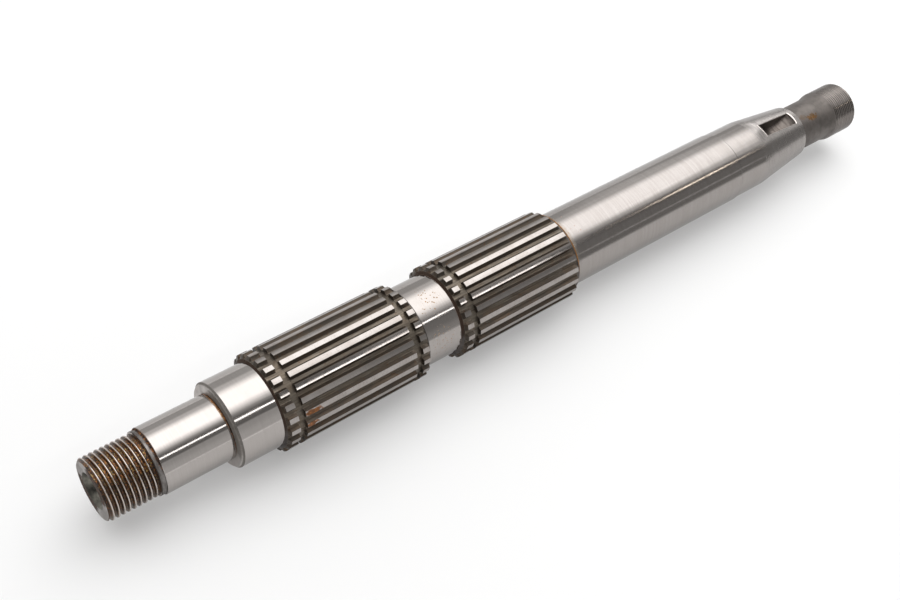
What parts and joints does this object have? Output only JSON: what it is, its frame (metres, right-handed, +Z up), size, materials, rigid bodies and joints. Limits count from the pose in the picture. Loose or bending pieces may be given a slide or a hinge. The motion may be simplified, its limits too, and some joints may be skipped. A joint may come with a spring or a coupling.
{
  "type": "transmission mainshaft",
  "caption": "Hollow steel gearbox mainshaft with a threaded end, ground bearing seats, splined lengths with snap ring grooves, a long journal and a keyed clutch taper.",
  "frame": {"origin": "on the shaft axis, at the shoulder that the main bearing seats against", "axes": "+X along the shaft from the threaded end to the clutch end, +Z up as the shaft lies on its spline teeth, key slot facing up"},
  "size_m": [0.2953, 0.029, 0.0289],
  "materials": {
    "steel": "ground and turned steel with dark spline flanks and light rust stains"
  },
  "bodies": {
    "root": {"mainshaft": "steel"}
  },
  "joints": []
}
